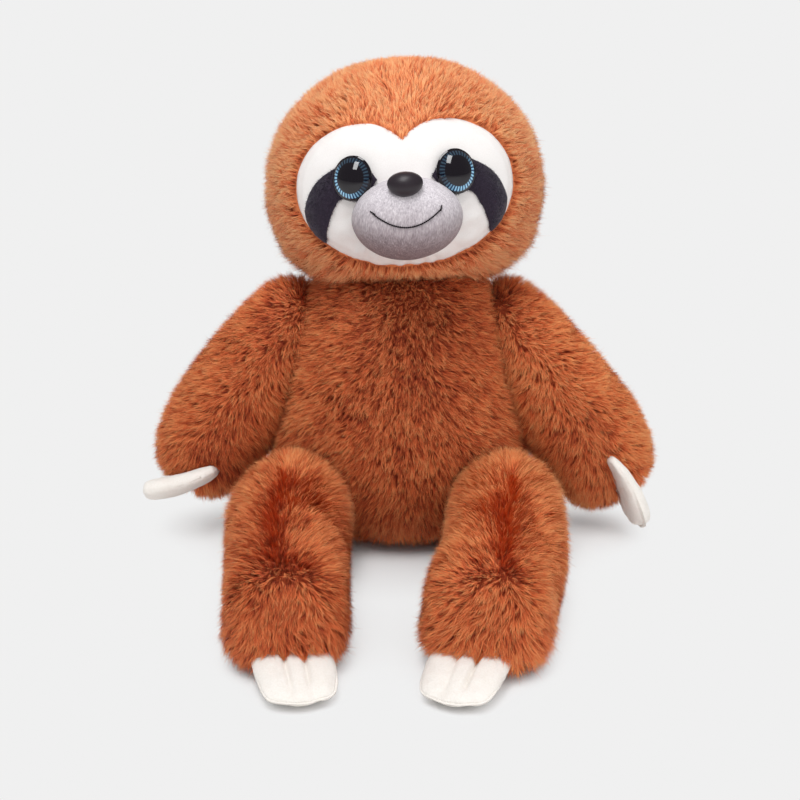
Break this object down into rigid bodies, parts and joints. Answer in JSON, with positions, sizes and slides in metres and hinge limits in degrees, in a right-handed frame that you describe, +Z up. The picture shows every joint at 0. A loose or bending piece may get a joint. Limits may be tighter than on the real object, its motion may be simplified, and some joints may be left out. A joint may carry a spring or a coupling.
{
  "type": "plush sloth",
  "caption": "Seated plush sloth with long rust-orange fur, cream face, dark eye patches, glossy domed eyes and cream claws; arms and legs swing at their roots.",
  "frame": {"origin": "middle of the flat underside of the torso, on the surface that the toy sits on", "axes": "+Z up, -Y the way that the face looks, +X the toy's own left"},
  "size_m": [0.3018, 0.3128, 0.2826],
  "materials": {
    "fur": "matte",
    "face_plush": "matte",
    "muzzle_plush": "matte",
    "dark_plush": "matte",
    "claw_plush": "matte",
    "black_plastic": "gloss",
    "nose_plastic": "satin",
    "washer_plastic": "satin",
    "thread": "matte"
  },
  "bodies": {
    "body": {"torso": "fur", "head": "fur", "face_panel": "face_plush", "eye_patch_left": "dark_plush", "eye_patch_right": "dark_plush", "muzzle": "muzzle_plush", "mouth_stitch": "thread", "nose": "nose_plastic", "nose_washer": "washer_plastic", "eye_left": "black_plastic", "eye_right": "black_plastic", "eye_washer_left": "washer_plastic", "eye_washer_right": "washer_plastic"},
    "left_arm": {"arm_left": "fur", "hand_claws_left": "claw_plush"},
    "right_arm": {"arm_right": "fur", "hand_claws_right": "claw_plush"},
    "left_leg": {"leg_left": "fur", "foot_claws_left": "claw_plush"},
    "right_leg": {"leg_right": "fur", "foot_claws_right": "claw_plush"}
  },
  "joints": [
    {"name": "shoulder_left", "type": "hinge", "parent": "body", "child": "left_arm", "pos_m": [0.066, 0, 0.124], "axis": [-1, 0, 0], "range_deg": [-40, 100]},
    {"name": "shoulder_right", "type": "hinge", "parent": "body", "child": "right_arm", "pos_m": [-0.066, 0, 0.124], "axis": [-1, 0, 0], "range_deg": [-40, 100]},
    {"name": "hip_left", "type": "hinge", "parent": "body", "child": "left_leg", "pos_m": [0.06, -0.058, 0.034], "axis": [-1, 0, 0], "range_deg": [-60, 25]},
    {"name": "hip_right", "type": "hinge", "parent": "body", "child": "right_leg", "pos_m": [-0.06, -0.058, 0.034], "axis": [-1, 0, 0], "range_deg": [-60, 25]}
  ]
}
